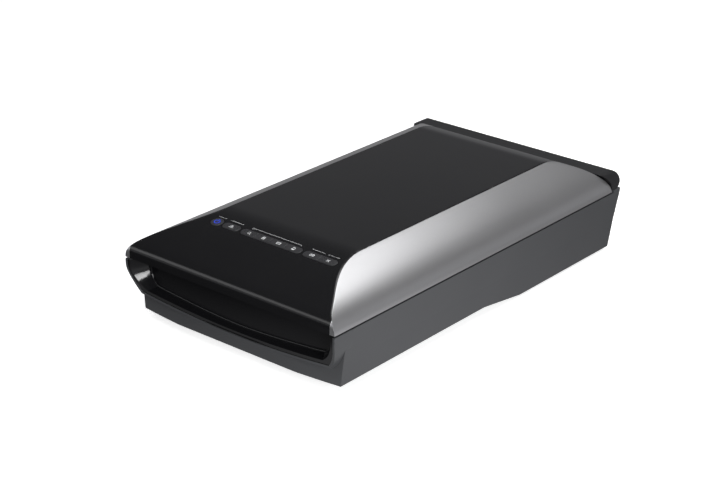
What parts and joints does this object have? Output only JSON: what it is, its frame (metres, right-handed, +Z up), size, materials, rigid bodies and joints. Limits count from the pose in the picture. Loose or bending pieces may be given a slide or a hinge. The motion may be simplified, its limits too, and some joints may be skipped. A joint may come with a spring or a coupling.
{
  "type": "flatbed scanner",
  "caption": "Low flatbed scanner with a domed lid on lifting hinges, silver lid flanks, a row of keys and a scooped front grip.",
  "frame": {"origin": "middle of the footprint, on the surface the feet stand on", "axes": "+X to the right seen from the front, +Y from the front grip to the hinge, +Z up"},
  "size_m": [0.27, 0.48, 0.111],
  "materials": {
    "lid_black": "high-gloss black moulded plastic",
    "lid_silver": "satin silver paint on moulded plastic",
    "base_grey": "fine-textured dark grey moulded plastic",
    "grip_black": "gloss black moulded plastic",
    "cover_black": "satin black moulded plastic",
    "tray_grey": "matt mid-grey moulded plastic",
    "frame_black": "matt black moulded plastic",
    "platen_glass": "clear float glass",
    "mat_white": "matt white film on foam",
    "foam_grey": "open-cell foam",
    "white_plastic": "white moulded plastic",
    "diffuser_white": "opal acrylic light panel",
    "rubber_black": "moulded rubber",
    "belt_black": "toothed belt rubber",
    "steel": "ground steel",
    "zinc_steel": "zinc-plated pressed steel",
    "brass": "turned brass",
    "mirror": "front-surface mirror",
    "board_green": "green circuit board with parts",
    "flex_white": "flat flexible lead",
    "carriage_black": "matt black moulded plastic",
    "key_black": "satin-gloss dark key with a printed symbol",
    "power_blue": "dark key lit blue from inside"
  },
  "bodies": {
    "base": {"base_shell": "base_grey", "deck_corners": "base_grey", "front_grip_panel": "grip_black", "platen_frame": "frame_black", "platen_glass": "platen_glass", "calibration_strip": "mat_white", "guide_rod": "steel", "rod_brackets": "carriage_black", "glide_rail": "zinc_steel", "drive_belt": "belt_black", "stepper_motor": "zinc_steel", "motor_bracket": "zinc_steel", "idler_bracket": "zinc_steel", "tension_spring": "steel", "main_board": "board_green", "board_screws": "zinc_steel", "usb_port": "zinc_steel", "dc_jack": "carriage_black", "flex_lead": "flex_white", "feet": "rubber_black", "case_screws": "zinc_steel", "hinge_sockets": "carriage_black"},
    "hinge": {"hinge_posts": "cover_black", "hinge_pins": "steel"},
    "lid": {"hinge_cover": "cover_black", "lid_top": "lid_black", "lid_side_left": "lid_silver", "lid_side_right": "lid_silver", "lid_tray": "tray_grey", "document_mat": "mat_white", "mat_foam": "foam_grey", "lid_bumpers": "rubber_black", "lid_screws": "zinc_steel", "film_lamp_housing": "white_plastic", "film_diffuser": "diffuser_white", "film_led_bars": "diffuser_white", "film_lamp_board": "board_green", "button_board": "board_green"},
    "carriage": {"carriage_housing": "carriage_black", "rod_bushes": "brass", "glide_pad": "white_plastic", "light_bar": "diffuser_white", "mirrors": "mirror", "lens_barrel": "brass", "sensor_board": "board_green", "belt_clamp": "white_plastic"},
    "drive_pulley": {"drive_pulley": "brass"},
    "idler_pulley": {"idler_pulley": "white_plastic"},
    "lock_switch": {"lock_switch": "white_plastic"},
    "power_button": {"power_button": "power_blue"},
    "auto_scan_button": {"auto_scan_button": "key_black"},
    "preview_button": {"preview_button": "key_black"},
    "copy_button": {"copy_button": "key_black"},
    "mail_button": {"mail_button": "key_black"},
    "save_button": {"save_button": "key_black"},
    "film_button": {"film_button": "key_black"},
    "cancel_button": {"cancel_button": "key_black"}
  },
  "joints": [
    {"name": "hinge_lift", "type": "slide", "parent": "base", "child": "hinge", "axis": [0, 0, 1], "range_m": [0, 0.039]},
    {"name": "lid_hinge", "type": "hinge", "parent": "hinge", "child": "lid", "pos_m": [0, 0.23, 0.083], "axis": [-1, 0, 0], "range_deg": [0, 88]},
    {"name": "carriage_travel", "type": "slide", "parent": "base", "child": "carriage", "axis": [0, 1, 0], "range_m": [0, 0.3]},
    {"name": "drive_pulley_spin", "type": "hinge", "parent": "base", "child": "drive_pulley", "pos_m": [-0.108, 0.172, 0.03], "axis": [0, 0, 1], "continuous": true},
    {"name": "idler_pulley_spin", "type": "hinge", "parent": "base", "child": "idler_pulley", "pos_m": [-0.108, -0.204, 0.03], "axis": [0, 0, 1], "continuous": true},
    {"name": "lock_slide", "type": "slide", "parent": "base", "child": "lock_switch", "axis": [0, 1, 0], "range_m": [0, 0.008]},
    {"name": "power_press", "type": "slide", "parent": "lid", "child": "power_button", "axis": [0, 0.1685, -0.9857], "range_m": [0, 0.0008], "stiffness_N_per_m": 400},
    {"name": "auto_scan_press", "type": "slide", "parent": "lid", "child": "auto_scan_button", "axis": [0, 0.1685, -0.9857], "range_m": [0, 0.0008], "stiffness_N_per_m": 400},
    {"name": "preview_press", "type": "slide", "parent": "lid", "child": "preview_button", "axis": [0, 0.1685, -0.9857], "range_m": [0, 0.0008], "stiffness_N_per_m": 400},
    {"name": "copy_press", "type": "slide", "parent": "lid", "child": "copy_button", "axis": [0, 0.1685, -0.9857], "range_m": [0, 0.0008], "stiffness_N_per_m": 400},
    {"name": "mail_press", "type": "slide", "parent": "lid", "child": "mail_button", "axis": [0, 0.1685, -0.9857], "range_m": [0, 0.0008], "stiffness_N_per_m": 400},
    {"name": "save_press", "type": "slide", "parent": "lid", "child": "save_button", "axis": [0, 0.1685, -0.9857], "range_m": [0, 0.0008], "stiffness_N_per_m": 400},
    {"name": "film_press", "type": "slide", "parent": "lid", "child": "film_button", "axis": [0, 0.1685, -0.9857], "range_m": [0, 0.0008], "stiffness_N_per_m": 400},
    {"name": "cancel_press", "type": "slide", "parent": "lid", "child": "cancel_button", "axis": [0, 0.1685, -0.9857], "range_m": [0, 0.0008], "stiffness_N_per_m": 400}
  ],
  "couplings": [
    {"joint": "drive_pulley_spin", "follows": "carriage_travel", "rad_per_m": 144.93},
    {"joint": "idler_pulley_spin", "follows": "carriage_travel", "rad_per_m": 144.93}
  ]
}
